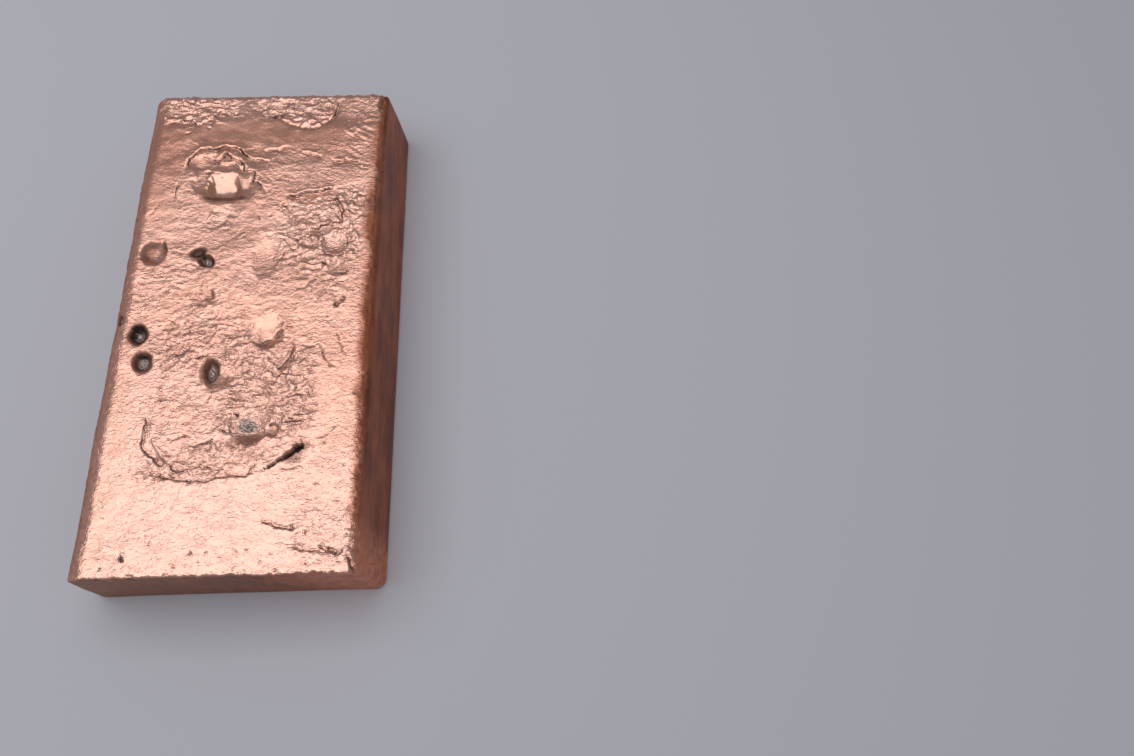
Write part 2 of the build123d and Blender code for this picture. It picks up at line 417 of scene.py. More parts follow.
crease([(1.2, 42.8), (1.8, 41), (1.4, 38.6)], 0.25, 0.25)
crease([(-33, 25.6), (-29, 25), (-26, 23.6), (-23.6, 23)], 0.25, 0.24)
crease([(-24, 21), (-20.5, 18.4), (-16.4, 16.2)], 0.3, 0.3)
crease([(-44.6, 42), (-43, 43.6), (-41.4, 45.2), (-40.4, 48)], 0.25, 0.3)
crease([(-19.5, 38.8), (-17.4, 37.8), (-15.6, 38.4)], 0.3, 0.3)
crease([(-12.6, 39.6), (-12.2, 37.8), (-10.6, 36.4)], 0.25, 0.26)
lap([(-20.4, -10.6), (-18.4, -11), (-16, -10.4), (-14, -10.5), (-12.6, -12.4)], 0.4, 0.35, 0.34, 2)
crease([(-25.5, -20.6), (-22, -20.6), (-20.4, -19.6), (-19, -17.6)], 0.35, 0.34)
crease([(-26, -34), (-26.4, -38), (-25.6, -41.6)], 0.15, 0.14)
crease([(-16.5, -22), (-13, -21.2), (-10.2, -20.8)], 0.3, 0.3)
lap([(3.6, -15.2), (7, -15.3), (10, -15), (13, -13.2), (15, -10.6), (18.4, -9),
     (22, -8.4)], 0.35, 0.45, 0.34, 2)
lap([(15.2, -27.2), (17, -26.4), (18.6, -24), (20.4, -20.4), (21.4, -17)], 0.35, 0.5, 0.4, 2)
crease([(31, -15), (32, -19), (33.6, -23), (35, -25.4), (37.4, -27), (39.4, -28.4)], 0.5, 0.34)
crease([(36.8, -10), (38, -13.4), (39, -17.4), (40.6, -21), (41.4, -24.4)], 0.5, 0.36)
crease([(14, -29.2), (17, -29.8), (20, -29), (23, -30)], 0.35, 0.32)
crease([(17, -40.6), (20, -39.4), (23.5, -38), (26.5, -38.2), (29.5, -37.6)], 0.4, 0.36)
crease([(22.6, -45), (25.5, -46.2), (28.6, -46.4)], 0.35, 0.34)
crease([(19, -49), (23.4, -48.8), (29, -48), (33, -48.2)], 0.25, 0.26)
crease([(-34, -42.6), (-32.6, -41)], 0.25, 0.24)
crease([(-4.6, -50), (-2, -51.8), (1, -52), (4, -53.4)], 0.4, 0.4)
crease([(-22, -53), (-19.5, -54.8), (-15.5, -53.4), (-11, -55)], 0.35, 0.34)
crease([(-13.5, -58), (-9.4, -57), (-5, -54.6), (-3.6, -52.4)], 0.35, 0.36)
lap([(-21, -66), (-23.4, -64.6), (-26, -62), (-29, -59.4), (-30.6, -57), (-31, -52), (-30.4, -48),
     (-31.4, -44.6)], 0.3, 0.4, 0.4, 2.5)
lap([(13.5, -67.2), (8, -69.6), (3, -69.6), (-1, -70), (-5, -71.4), (-10, -71.2), (-17, -70.3),
     (-22, -69.4), (-25, -68.2), (-28, -65.8)], 0.3, 0.32, 0.34, 2.5)
ridge([(-28, -46), (-27, -54), (-23, -60), (-18, -64), (-12, -66.6), (-5, -67.6), (3, -66.8),
       (9, -65)], 0.45, 0.9)
ridge([(30, -57), (33.5, -56.4), (37, -55.4), (40, -52), (42, -48)], 0.3, 0.7)
crease([(-20, -63.6), (-18, -66.6), (-15.4, -67.6), (-12.6, -66.2), (-10, -65)], 0.45, 0.45)
crease([(-7.4, -65), (-5, -65.8), (-2.6, -67.4)], 0.4, 0.4)
crease([(-3, -60), (-3.6, -62.4), (-2.6, -64.6)], 0.3, 0.3)
crease([(-34.6, -59), (-33.6, -62), (-33, -65)], 0.25, 0.28)
crease([(-36.6, -54), (-36.6, -57), (-35.4, -59.8)], 0.2, 0.2)
crease([(7.8, -69.9), (9.6, -67.4), (11, -65.6), (13, -64.6)], 0.5, 0.36)
crease([(29.4, -56.2), (31.4, -57.6), (32.6, -59.6), (33, -61)], 0.35, 0.3)
crease([(20, -66.4), (23.5, -67.2), (26.5, -66.4), (29.5, -65.4)], 0.25, 0.3)
lap([(27.6, -91), (25.4, -89.4), (21, -88.6), (18.4, -87), (15, -86.4)], 0.25, 0.4, 0.3, 2)
lap([(44.8, -98.4), (41, -97.6), (38.6, -96.8), (36, -96)], 0.25, 0.5, 0.34, 2)
lap([(45, -99.9), (40.4, -98.3), (35, -97.6), (30, -96.9), (25.6, -95.8)], 0.2, 0.4, 0.26, 2)
crease([(20.4, -94.6), (24, -94.2), (29.4, -95), (36, -95.2)], 0.25, 0.24)
lap([(4, 93), (8, 90), (13, 87.5), (19, 86.3), (24, 88), (28, 92), (29.5, 97),
     (29, 102)], 0.35, 0.35, 0.3, 1.5)
lap([(-44, 91), (-38, 90.4), (-33, 91.8), (-29, 89), (-24, 92), (-20, 96),
     (-15, 92.6)], 0.4, 0.3, 0.24, 1.5)
crease([(44.8, -92.2), (46.4, -91.6), (48.4, -91.8)], 0.35, 0.3)
crease([(45, -90), (46.6, -89.4), (48.4, -89.8)], 0.3, 0.26)
crease([(42.4, -102.6), (44, -101.4), (46, -101)], 0.25, 0.26)
ridge([(44.4, -98.2), (46.4, -97.4), (47.6, -95.6)], 0.5, 1.2)
crease([(45.4, -99.4), (47.2, -100.4), (48.6, -102.4), (50.0, -105.4)], 0.9, 0.7)

# Short nicks, where the skin opened as it shrank: middle, length, angle, depth and half the width
nicks = (
    (-40, -97.6, 2.6, 4, 0.2, 0.2),
    (-26, -95.6, 3.4, -4, 0.2, 0.2),
    (-18, -98.2, 2.6, 6, 0.25, 0.22),
    (-12.5, -101.4, 3.2, 2, 0.2, 0.2),
    (-4, -100.2, 2.6, -6, 0.25, 0.22),
    (3, -98.6, 3.0, 8, 0.2, 0.2),
    (5, -103.2, 2.4, 0, 0.3, 0.24),
    (17.6, -100.4, 3.4, -6, 0.25, 0.22),
    (20.4, -97.6, 2.4, 10, 0.2, 0.2),
    (38, -100.2, 3.0, -4, 0.25, 0.22),
    (-33, 84.2, 4, 5, 0.3, 0.3),
    (34.3, -72.6, 3.4, -8, 0.3, 0.3),
    (13.5, -72.6, 2.2, -30, 0.3, 0.34),
    (-11, -71.4, 3.4, 0, 0.6, 0.5),
    (1.2, -68.2, 1.6, 0, 0.5, 0.5),
    (-2, -68.2, 2.0, 60, 0.4, 0.34),
    (8, -96.4, 2.4, -50, 0.4, 0.26),
    (12.2, -95.8, 2.0, -10, 0.35, 0.26),
    (8, -102.4, 3.0, 20, 0.3, 0.26),
    (12.6, -103.6, 1.6, -45, 0.4, 0.26),
    (-31.4, -98, 2.2, -45, 0.9, 0.6),
    (-30.8, -99, 1.8, 50, 0.8, 0.5),
    (-32.6, -102, 1.4, 0, 0.4, 0.4),
    (-22.4, -93, 2.6, 80, 0.3, 0.26),
    (-7.4, -97.4, 3.4, 6, 0.3, 0.3),
    (-7.4, -96.4, 1.2, -40, 0.4, 0.34),
    (-2.2, -96.8, 2.0, 40, 0.35, 0.3),
    (-38, -101.4, 1.6, -20, 0.3, 0.3),
    (-24.4, -102.6, 1.4, -40, 0.3, 0.3),
    (26.4, -88.6, 2.4, -50, 0.8, 0.6),
    (21, -86.8, 1.4, -40, 0.6, 0.5),
    (29, -84.2, 1.2, -30, 0.6, 0.4),
    (32, -90.4, 2.0, -40, 0.5, 0.4),
    (40.4, -96.2, 1.4, -70, 0.6, 0.4),
    (33, -101.6, 2.2, -70, 0.4, 0.26),
    (36, -57.2, 1.6, -40, 0.6, 0.6),
    (22.6, -104, 3.4, 0, 0.7, 0.6),
    (-27, -104.2, 3.0, -20, 0.6, 0.5),
    (-15, -104.4, 2.0, -20, 0.5, 0.4),
    (39.8, -25, 1.6, 0, 0.3, 0.4),
    (46, -38, 2.2, 0, 0.5, 0.5),
    (-8, -24.6, 2.0, 60, 0.3, 0.3),
    (2.6, -45.4, 2.2, -30, 0.7, 0.7),
    (15.6, -49.8, 1.6, 0, 0.5, 0.6),
    (-16.2, 65.2, 1.6, 0, 0.4, 0.4),
    (-16, 62, 1.4, 0, 0.3, 0.4),
    (32.6, -5, 1.4, 0, 0.3, 0.3),
    (14.2, 9.2, 1.4, -30, 0.3, 0.3),
)
for cx, cy, long, angle, deep, wide in nicks:
    reach_x, reach_y = long / 2 * np.cos(radians(angle)), long / 2 * np.sin(radians(angle))
    crease([(cx - reach_x, cy - reach_y), (cx, cy), (cx + reach_x, cy + reach_y)], deep, wide)

# Blowholes, deeper than the skin is thick: middle, half width and half length, turn, depth, steepness,
# then how much brown stain rings the mouth, how much soot-black scale lines the wall and how much grey
# ash lies on the floor, whose pale grey is partly a painted highlight
blowholes = (
    (-38.8, 25.0, 5.6, 5.7, 0, 2.8, 2.4, 0.45, 0.15, 0.0),
    (-20.8, 24.8, 3.4, 2.4, 20, 2.2, 2.0, 0.9, 0.6, 0.0),
    (-17.2, 20.9, 4.2, 2.8, -30, 2.6, 2.0, 0.9, 0.45, 0.8),
    (-39.2, -11.4, 3.9, 4.7, 12, 3.4, 2.0, 0.95, 0.7, 0.9),
    (-35.6, -23.4, 3.8, 4.7, 25, 3.0, 2.0, 0.95, 0.5, 0.95),
    (-9.1, -28.0, 3.3, 5.8, 6, 3.0, 2.4, 0.85, 0.45, 0.7),
    (38.2, 2.6, 1.3, 1.0, 20, 1.0, 2.4, 0.4, 0.3, 0.0),
    (36.2, 0.2, 1.1, 1.4, -30, 1.2, 2.4, 0.5, 0.6, 0.0),
    (-47.6, -4.6, 1.6, 2.4, 0, 1.2, 2.4, 0.7, 0.8, 0.0),
    (4.5, 92.6, 2.8, 1.2, 14, 1.6, 2.0, 0.7, 0.8, 0.0),
)
around = {name: np.zeros(x.shape) for name in ("soot", "brown", "ash", "gold")}
for cx, cy, rx, ry, turn, deep, steep, brown, soot, ash in blowholes:
    r = dish(cx, cy, rx, ry, turn, deep, steep, 1, 0, 0.14)
    around["brown"] = np.maximum(around["brown"], brown * (1 - fade(r, 0.95, 1.3)))
    around["soot"] = np.maximum(around["soot"], soot * fade(r, 0.35, 0.6) * (1 - fade(r, 0.7, 0.95)))
    around["ash"] = np.maximum(around["ash"], ash * (1 - fade(r, 0.35, 0.7)))

# The tear, a slit that widens to its head
tear_line = [(13.6, -67.4), (17, -65.6), (20, -63.2), (23, -61.3), (26, -59.2), (28.6, -58.2)]
near, off, along = beside(tear_line, 4)
gape = 0.2 + 1.25 * along**1.6
inside = (1 - fade(np.abs(off), 0.7 * gape, 1.15 * gape)) * fade(np.minimum(along, 1 - along), 0, 0.05)
relief[near] -= 3.2 * inside * fade(along, -0.2, 0.6)
mark(near, off, gape * inside)
around["soot"][near] = np.maximum(around["soot"][near], inside)
around["brown"][near] = np.maximum(around["brown"][near], 0.6 * (1 - fade(np.abs(off), gape, 1.8 * gape)))

# Where else the oxides sit: soot-black scale in the deepest places, brown stain in the dishes, grey ash
# and a golden oxide. The soot and brown at the sink's near foot and side walls, along the laps round the
# sink and on the near wall of the dish at (10, -12) are painted shade and shadow. Each row is a patch:
# place, half width, half length, turn and strength.
stains_and_shades = {
    "soot": (
        (-35.0, 28.8, 1.4, 1.6, 0, 0.6),
        (-33.8, 26.4, 0.5, 2.6, 0, 0.7),
        (-20.2, 24.6, 2.0, 1.4, 20, 0.8),
        (-18.6, 23.0, 1.4, 1.5, 0, 0.8),
        (-14.6, 20.6, 1.0, 1.6, 0, 0.9),
        (-17.6, 18.6, 2.8, 0.7, 10, 0.7),
        (-12.8, 5.4, 0.8, 2.2, 0, 0.35),
        (-40.0, -8.6, 2.6, 1.6, 0, 0.95),
        (-41.4, -11.6, 1.0, 2.6, 0, 0.9),
        (-36.4, -20.6, 2.6, 1.0, 0, 0.8),
        (2.8, -45.6, 1.2, 0.9, 0, 0.6),
        (15.6, -49.8, 1.0, 0.7, 0, 0.5),
        (8.2, -51.6, 1.3, 0.9, 0, 0.45),
        (5.6, -48.6, 0.6, 0.8, 0, 0.4),
        (-19.2, 69.4, 2.2, 1.4, -30, 0.4),
        (-13.4, 51.0, 11.0, 1.8, 0, 0.5),
        (-9.4, 55.0, 1.2, 4.2, -8, 0.55),
        (-19.4, 53.0, 0.8, 2.2, -14, 0.35),
        (-22.0, 75.6, 5.0, 0.8, 0, 0.4),
        (-9.0, 72.4, 0.8, 4.0, 45, 0.4),
        (-3.2, 61.0, 0.7, 3.6, 10, 0.4),
        (1.6, 55.2, 0.7, 4.0, 34, 0.35),
        (-15.6, 73.8, 1.0, 1.8, 0, 0.4),
        (-31.2, -98.4, 1.1, 1.1, 0, 0.5),
    ),
    "brown": (
        (-40.4, 27.2, 2.2, 2.4, 0, 0.8),
        (-42.0, 22.6, 1.8, 2.8, 20, 0.8),
        (-37.0, 20.8, 3.4, 1.0, 0, 0.6),
        (-22.6, 21.6, 1.6, 2.4, 40, 0.5),
        (-13.6, 5.0, 2.0, 2.8, 0, 0.3),
        (-42.4, -14.4, 1.3, 2.4, 0, 0.5),
        (-34.6, -27.4, 3.0, 1.4, 20, 0.8),
        (-12.2, -28.4, 1.4, 5.0, 4, 0.8),
        (-5.0, -31.8, 6.4, 2.2, 10, 0.7),
        (-8.4, -35.4, 3.6, 1.2, -10, 0.45),
        (7.6, -55.4, 6.4, 2.8, 0, 0.95),
        (15.6, -53.2, 2.4, 2.4, 0, 0.6),
        (1.6, -57.4, 1.8, 2.6, 20, 0.4),
        (24.0, -62.6, 4.6, 1.6, 26, 0.6),
        (-13.0, 51.0, 10.0, 1.8, 0, 0.75),
        (-7.6, 56.4, 1.2, 4.6, 0, 0.6),
        (-22.8, 52.2, 2.2, 2.4, -14, 0.5),
        (-24.5, 69.2, 6.5, 4.0, 10, 0.35),
        (-15.6, 71.6, 3.0, 2.6, 0, 0.3),
        (10.0, -17.4, 5.4, 1.4, -6, 0.6),
        (14.4, -12.4, 1.2, 3.0, -40, 0.4),
        (20.6, -20.0, 1.2, 3.6, -14, 0.35),
        (16.6, -26.4, 1.8, 1.2, 0, 0.4),
        (9.6, -25.6, 1.6, 1.8, 0, 0.3),
        (2.4, 92.2, 2.4, 1.0, 0, 0.6),
        (46.6, -38.0, 1.8, 0.9, 0, 0.4),
        (49.0, 99.6, 1.6, 4.2, -12, 0.7),
    ),
    "ash": (
        (-36.4, 23.4, 2.6, 2.0, 20, 0.85),
        (-8.2, -28.8, 1.9, 4.4, 6, 0.75),
        (7.0, -50.0, 3.8, 3.4, 0, 0.85),
        (27.0, -59.8, 0.7, 0.5, 30, 0.7),
        (28.6, 33.8, 3.0, 2.0, 10, 0.45),
        (-14.4, 54.4, 5.4, 2.2, 0, 0.5),
        (-14.8, 56.6, 5.0, 2.6, 0, 0.25),
        (-6.4, 58.4, 2.0, 3.6, 20, 0.3),
    ),
    "gold": (
        (-21.2, 55.8, 2.2, 4.0, -10, 0.85),
        (-41.6, 25.0, 2.4, 4.4, 0, 0.6),
        (10.2, -8.6, 5.4, 5.4, 0, 0.35),
        (17.4, -51.0, 1.3, 1.4, 0, 0.45),
        (-28.0, 84.0, 4.0, 1.4, 0, 0.3),
        (-40.0, 98.6, 3.6, 2.4, 0, 0.3),
        (31.0, 46.6, 3.4, 1.6, 0, 0.25),
        (46.0, -43.0, 1.8, 5.0, 0, 0.3),
        (-43.0, -66.0, 6.0, 52.0, 0, 0.34),
    ),
}
skin_fields = {"crack": crack, "wild": wild_share}
for name, rows in stains_and_shades.items():
    field = around[name]
    for cx, cy, rx, ry, turn, strength in rows:
        field = np.maximum(field, strength * (1 - fade(oval(cx, cy, rx, ry, turn, 0.22), 0.6, 1.15)))
    skin_fields[name] = field * (top > 0)

# A darker, redder tint that grows from the near end to the far end and is strongest on the smooth band
# there:
# partly a thin film of oxide, partly painted shade where less light falls towards the far end and a painted
# dark reflection on that band. It is stronger, too, beside the right edge and by the far left one, and
# weaker in the wrinkled patches of the far half, whose paler colour is a painted highlight.
skin_fields["film_and_falloff_shade"] = np.interp(y, (-105, -60, 0, 60, 80, 88, 96), (0.0, 0.15, 0.45, 0.5, 0.95, 0.8, 0.4))
skin_fields["film_and_falloff_shade"] += 0.2 * swell(x / 16, y / 16, 28) - 0.5 * wild_share * fade(y, 0, 40)
skin_fields["film_and_falloff_shade"] += 0.25 * (1 - fade(oval(39, -36, 9, 28, 0, 0.3), 0.6, 1.2))
skin_fields["film_and_falloff_shade"] += 0.35 * (1 - fade(oval(-42, 66, 9, 24, 0, 0.3), 0.6, 1.2))
skin_fields["film_and_falloff_shade"] = np.clip(skin_fields["film_and_falloff_shade"], 0, 1)

# The mould's faces are oxidised to brown, and the brown climbs over the outer halves of the rolled edges,
# higher on the right roll, where a dark red-brown band along the edge is painted shade, a dark reflection
# laid on as colour. By the near right corner the faces are lighter, bare pitted copper that is partly wear
# and partly painted light, and dust dulls the near end's left.
upright = normal_z + 0.1 * swell(y / 2.3, (x + z) / 2.3, 20) + 0.08 * swell(y / 9, z / 9, 21)
right_half = fade(x, -10, 10)
# On the right the brown starts higher on the roll: painted shade as well as oxide
outer_and_roll_shade = 0.05 + 0.25 * right_half * fade(y, -85, -35)
edge_places = (-100, -80, -40, 0, 22, 34, 42, 50, 58, 75, 95)
edge_outward = (3, 2, 1.2, 0, 1.0, -1.2, -2.0, -1.6, 0.8, 0, 2)
edge_x = x + 0.9 * swell(x / 2.6, y / 2.6, 32) + 1.2 * swell(x / 9, y / 9, 33)
edge_x -= np.interp(y, edge_places, edge_outward)
# The dark band along the right edge is painted shade, a dark reflection laid on as colour
right_edge_shade = 0.8 * fade(edge_x, 44.2, 49.0)
left_band = 0.6 * fade(0.9 * swell(x / 1.8, y / 1.8, 35) - x, 47.0, 49.6)
mould_face = 1 - fade(upright, 0.2 + outer_and_roll_shade, 0.6 + outer_and_roll_shade)
skin_fields["mould"] = np.maximum(mould_face, np.maximum(right_edge_shade, left_band))
# The same band is darkened further with brown, painted shade too, weaker towards the far end
right_edge_shade_brown = 0.8 * fade(right_edge_shade, 0.35, 0.8) * top * (0.35 + 0.65 * (1 - fade(y, 30, 70)))
skin_fields["brown"] = np.maximum(skin_fields["brown"], right_edge_shade_brown)
near_corner = 1 - fade(y + 5 * swell(y / 11, z / 11, 34), -96, -80)
# Lighter bare copper by the near right corner: partly wear, partly painted light
skin_fields["worn_and_lit"] = fade(x, 14, 42) * near_corner
dusty_left = 1 - fade(x + 8 * swell(x / 15, z / 15, 37), -30, 30)
skin_fields["dusty"] = (1 - fade(facing, -0.9, -0.2)) * dusty_left

# A darker, rougher tarnish lies along the inner halves of the rolls. The finest ripples are strongest
# there, weaker where the skin was drawn smooth: in the sink, in one dish, on the band by the far end and
# on the calm far half.
right_tarnish = fade(edge_x + 2, 45.2, 49.2) * (1 - 0.6 * fade(y, -20, 40))
left_tarnish = 0.7 * fade(0.9 * swell(x / 2.4, y / 2.4, 36) - x, 43.5, 48.0)
tarnish = np.maximum(right_tarnish, left_tarnish) * top
skin_fields["tarnish"] = tarnish
polished = np.maximum(fade(trough, 0.3, 1.2), 1 - fade(oval(10, -10, 6.0, 6.0, 0, 0.2), 0.5, 1.2))
rippled = (1 - 0.55 * polished) * (1 - 0.6 * (1 - fade(np.abs(y - 85), 3, 10)))
calm = 1 - np.clip(1.5 * wild, 0, 1)
rippled *= 1 - fade(y, -20, 30) * (0.35 + 0.35 * fade(-x, -14, 0)) * calm
skin_fields["rippled"] = rippled * (1 + tarnish)


def softened(field, reach):
    """The field's mean over the points within reach, along the block and then round its section."""
    level = np.pad(field, ((reach, reach), (0, 0)), mode="edge")
    level = np.mean([level[i:i + len(field)] for i in range(2 * reach + 1)], axis=0)
    return np.mean([np.roll(level, i, axis=1) for i in range(-reach, reach + 1)], axis=0)


# The rolled edges are crinkled, the mould's faces wave a little, and the near edge is a thin ragged lip
roll = fade(normal_z, 0.1, 0.5) * (1 - fade(normal_z, 0.9, 1))
relief = relief * top
crinkle = 0.25 * swell(y / 1.9, across / 1.3, 22) + 0.2 * swell(y / 4, across / 3, 23)
relief += roll * (0.55 + 0.85 * right_half) * crinkle
long_wave = 0.25 * swell((x + y) / 24, z / 16, 24)
short_wave = 0.1 * fade(keep, 0.6, 1) * swell((x + y) / 7, z / 6, 25)
relief += (1 - top) * fade(z, 0, 4) * (long_wave + short_wave)
# Painted shade in the relief's hollows: brown where the skin lies below its neighbours' mean, less on the
# far half
sunk_shade = np.clip((softened(relief, 3) - relief) / 0.3, 0, 1)
skin_fields["hollow"] = sunk_shade * top * (1 - 0.65 * fade(y, 5, 40))
lip = on_top * np.clip(-facing, 0, 1) * fade(keep, 0.85, 1)
surface = np.stack([x, y, z], axis=-1) + normal * relief[..., None]
surface[..., 1] -= lip * (0.25 + 0.3 * swell(x / 1.6, 0 * x, 26) + 0.35 * swell(x / 6, 0 * x, 27))

# The mesh: quads between neighbouring rings, with one point at the middle of each end
rings, steps = x.shape
ends = np.array([[middle[0], -half_length, middle[1]], [middle[0], half_length, middle[1]]])
points = np.vstack([surface.reshape(-1, 3), ends]) * to_metres
index = np.arange(rings * steps).reshape(rings, steps)
after = np.roll(index, -1, axis=1)
quads = np.stack([index[:-1], after[:-1], after[1:], index[1:]], axis=-1).reshape(-1, 4)
near_fan = np.stack([after[0], index[0], np.full(steps, rings * steps)], axis=-1)
far_fan = np.stack([index[-1], after[-1], np.full(steps, rings * steps + 1)], axis=-1)
skin = bpy.data.meshes.new("cast_skin")
skin.from_pydata(points.tolist(), [], quads.tolist() + near_fan.tolist() + far_fan.tolist())
skin.polygons.foreach_set("use_smooth", np.ones(len(skin.polygons), bool))
for name, field in skin_fields.items():
    values = np.append(field.ravel(), [field[0].mean(), field[-1].mean()]).astype(np.float32)
    skin.attributes.new(name, "FLOAT", "POINT").data.foreach_set("value", values)
skin.update()
casting = bpy.data.objects.new("casting", skin)
bpy.context.collection.objects.link(casting)
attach(casting, "root")
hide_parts("ingot")
print("casting", len(points), "points", len(quads) * 2 + steps * 2, "triangles")

# The copper: a bright pink skin with finer wrinkles, hair cracks and grain than the mesh holds, under the
# oxides and painted shade that are kept at the skin's points. Patterns are laid out in millimetres of the
# ingot itself.
copper = bpy.data.materials.new("cast_copper")
copper.use_nodes = True
nodes, links = copper.node_tree.nodes, copper.node_tree.links
shader = nodes["Principled BSDF"]


def feed(socket, value):
    """Joins a socket to another node's output, or sets it to a plain value."""
    if isinstance(value, bpy.types.NodeSocket):
        links.new(value, socket)
    else:
        socket.default_value = value


def arithmetic(kind, *values, clamp=False):
    """One step of arithmetic on one or two values."""
    step = nodes.new("ShaderNodeMath")
    step.operation = kind
    step.use_clamp = clamp
    for socket, value in zip(step.inputs, values):
        feed(socket, value)
    return step.outputs[0]


def times(one, other):
    """One value multiplied by another."""
    return arithmetic("MULTIPLY", one, other)


def plus(one, other):
    """One value added to another."""
    return arithmetic("ADD", one, other)


def spread(value, start, end):
    """0 at the start to 1 at the end, smoothed, and flat beyond both."""
    span = nodes.new("ShaderNodeMapRange")
    span.interpolation_type = "SMOOTHSTEP"
    for name, given in (("Value", value), ("From Min", start), ("From Max", end)):
        feed(span.inputs[name], given)
    return span.outputs[0]


def blend(share, under, over):
    """One colour laid over another by its share."""
    mix = nodes.new("ShaderNodeMix")
    mix.data_type = "RGBA"
    feed(mix.inputs["Factor"], share)
    feed(mix.inputs["A"], under)
    feed(mix.inputs["B"], over)
    return mix.outputs["Result"]


def painted(name):
    """A value kept at the skin's points."""
    store = nodes.new("ShaderNodeAttribute")
    store.attribute_name = name
    return store.outputs["Fac"]


def laid(per_mm, source=None):
    """Places on the ingot, in repeats of a pattern with so many to the millimetre along X, Y and Z."""
    mapping = nodes.new("ShaderNodeMapping")
    mapping.inputs["Scale"].default_value = [rate / to_metres for rate in per_mm]
    feed(mapping.inputs["Vector"], source or place)
    return mapping.outputs["Vector"]


def cloud(per_mm, detail=2.0, rough=0.5, source=None):
    """Soft noise, 0 to 1 about a half."""
    noise = nodes.new("ShaderNodeTexNoise")
    noise.inputs["Scale"].default_value = 1.0
    noise.inputs["Detail"].default_value = detail
    noise.inputs["Roughness"].default_value = rough
    feed(noise.inputs["Vector"], laid(per_mm, source))
    return noise.outputs["Fac"]


def wrinkled(value):
    """The size of a noise about its half, 0 in the creases."""
    return arithmetic("ABSOLUTE", arithmetic("SUBTRACT", value, 0.5))


# Places, and the same places moved about by a coarse noise, so that the wrinkles laid on them wander
place = nodes.new("ShaderNodeTexCoord").outputs["Object"]
drift_per_metre = 320.0
drift_reach = 0.0026
drift = nodes.new("ShaderNodeTexNoise")
drift.inputs["Scale"].default_value = drift_per_metre
feed(drift.inputs["Vector"], place)
moved = nodes.new("ShaderNodeVectorMath")
moved.operation = "MULTIPLY_ADD"
feed(moved.inputs[0], drift.outputs["Color"])
moved.inputs[1].default_value = (drift_reach, drift_reach, drift_reach)
feed(moved.inputs[2], place)
warped = moved.outputs[0]

# What is kept at the skin's points, with the edges of the stains and of the painted shade among them broken
# up by a fine noise
crack_shade_distance = arithmetic("ABSOLUTE", painted("crack"))
wildness = painted("wild")
mould = painted("mould")
film_and_falloff_shade = painted("film_and_falloff_shade")
tarnished = painted("tarnish")
stain_edge = times(arithmetic("SUBTRACT", cloud((1.1, 1.1, 1.1)), 0.5), 0.7)
stained_and_shaded = {}
for name in ("soot", "brown", "ash", "gold"):
    amount = painted(name)
    frayed = plus(amount, times(stain_edge, spread(amount, 0.0, 0.3)))
    stained_and_shaded[name] = spread(frayed, 0.05, 0.95)

# The patterns: broad patches, mottling and grain, then the wrinkles and hair cracks, and the specks in
# the ash
patches = cloud((0.045, 0.045, 0.045), 3.0)
mottle = cloud((0.22, 0.3, 0.3), 4.0, 0.6)
grain = cloud((1.1, 1.3, 1.3), 3.0, 0.6)
fine = cloud((3.4, 3.4, 3.4), 2.0)
ripple = wrinkled(cloud((0.55, 0.8, 0.8), 1.0, 0.4, warped))
satin = cloud((0.45, 0.85, 0.85), 2.0, 0.55, warped)
hair = spread(wrinkled(cloud((0.28, 0.85, 0.85), 1.0, 0.4, warped)), 0.028, 0.008)
broken = spread(cloud((0.11, 0.14, 0.14), 2.0), 0.47, 0.6)
hair_cracks = arithmetic("MULTIPLY", times(hair, broken), plus(0.25, wildness), clamp=True)
small_bark = wrinkled(cloud((0.45, 0.95, 0.95), 2.0, 0.5, warped))
specks = spread(cloud((1.4, 1.4, 1.4), 2.0), 0.48, 0.6)
speckle = times(specks, spread(painted("ash"), 0.45, 0.75))
streaks = cloud((0.5, 0.035, 0.12), 4.0, 0.6)

# The colours of the metal and of what lies on it, with painted shade, shadow and light among them
bright_copper = (0.93, 0.545, 0.44, 1)
filmed_and_shaded_copper = (0.89, 0.44, 0.325, 1)
mottled_oxide = (0.62, 0.31, 0.23, 1)
hollow_shade_brown = (0.36, 0.165, 0.115, 1)
hair_crack_shade_brown = (0.30, 0.12, 0.07, 1)
golden_oxide = (0.78, 0.44, 0.25, 1)
tarnished_copper = (0.74, 0.315, 0.2, 1)
stain_and_shade_brown = (0.27, 0.115, 0.075, 1)
pale_ash_and_highlight = (0.58, 0.48, 0.455, 1)
ash_speck = (0.11, 0.07, 0.06, 1)
mould_red = (0.46, 0.145, 0.068, 1)
mould_streak = (0.22, 0.058, 0.027, 1)
mould_patch = (0.20, 0.085, 0.065, 1)
worn_and_lit_copper = (0.78, 0.31, 0.18, 1)
dust_brown = (0.30, 0.155, 0.085, 1)
pit_brown = (0.07, 0.03, 0.022, 1)
crack_shade_brown = (0.11, 0.05, 0.038, 1)
soot_and_shade_black = (0.016, 0.011, 0.010, 1)

# The mould's faces are streaked and patchy, worn and pitted in one corner, where the lighter bare copper is
# partly painted light, and dusty in another
worn_and_lit = times(painted("worn_and_lit"), spread(mottle, 0.1, 0.7))
pits = times(spread(cloud((0.9, 0.9, 0.55), 2.0), 0.64, 0.7), worn_and_lit)
mould_skin = blend(spread(streaks, 0.35, 0.7), mould_red, mould_streak)
mould_layers = (
    (times(spread(patches, 0.5, 0.62), 0.5), mould_patch),
    # lighter copper by the corner: wear and painted light
    (worn_and_lit, worn_and_lit_copper),
    (times(painted("dusty"), 0.6), dust_brown),
    (pits, pit_brown),
)
for share, over in mould_layers:
    mould_skin = blend(share, mould_skin, over)

# The whole skin's colour, laid on from the clean copper to the soot, each with the share that shows,
# painted shade among the layers
oxide = times(spread(mottle, 0.4, 0.75), plus(0.14, times(film_and_falloff_shade, 0.24)))
